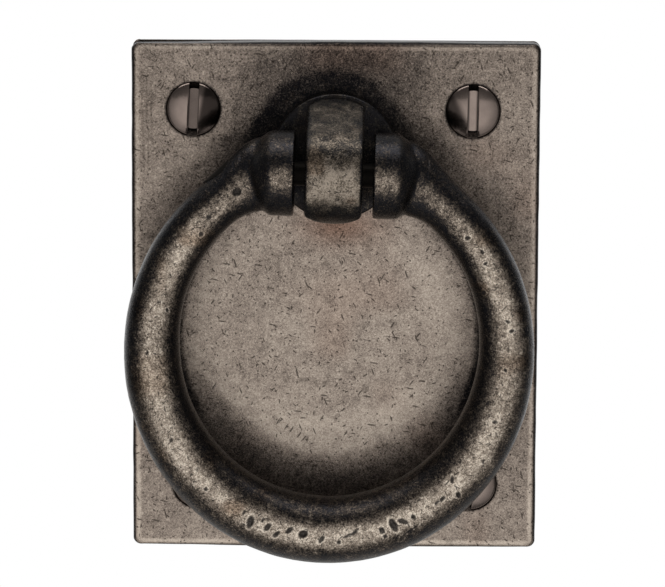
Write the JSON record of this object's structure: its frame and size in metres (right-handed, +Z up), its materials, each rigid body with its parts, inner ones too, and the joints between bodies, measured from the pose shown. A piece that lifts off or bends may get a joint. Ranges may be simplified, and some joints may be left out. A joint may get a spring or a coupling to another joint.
{
  "type": "ring pull handle",
  "caption": "Ring pull: a tapered ring swings on a pin in a knuckle that is riveted to a plain oblong backplate with slotted screws.",
  "frame": {"origin": "centre of the backplate's back face", "axes": "+Z up the plate, +X across it to the right as seen from the front, +Y out of its back into the door"},
  "size_m": [0.0512, 0.0312, 0.064],
  "materials": {
    "plate_pewter": "aged pewter, pitted and worn",
    "knuckle_pewter": "aged pewter, dark in the recesses",
    "ring_pewter": "aged pewter, rubbed bright on the high places",
    "pin_steel": "darkened",
    "screw_bronze": "satin, dark bronze"
  },
  "bodies": {
    "fixed_plate": {"backplate": "plate_pewter", "knuckle": "knuckle_pewter", "fixing_screws": "screw_bronze"},
    "swinging_ring": {"ring": "ring_pewter", "hinge_pin": "pin_steel"}
  },
  "joints": [
    {"name": "ring_swing", "type": "hinge", "parent": "fixed_plate", "child": "swinging_ring", "pos_m": [-0.00003, -0.0124, 0.0166], "axis": [-0.9997, 0, 0.0244], "range_deg": [-6, 190]}
  ]
}
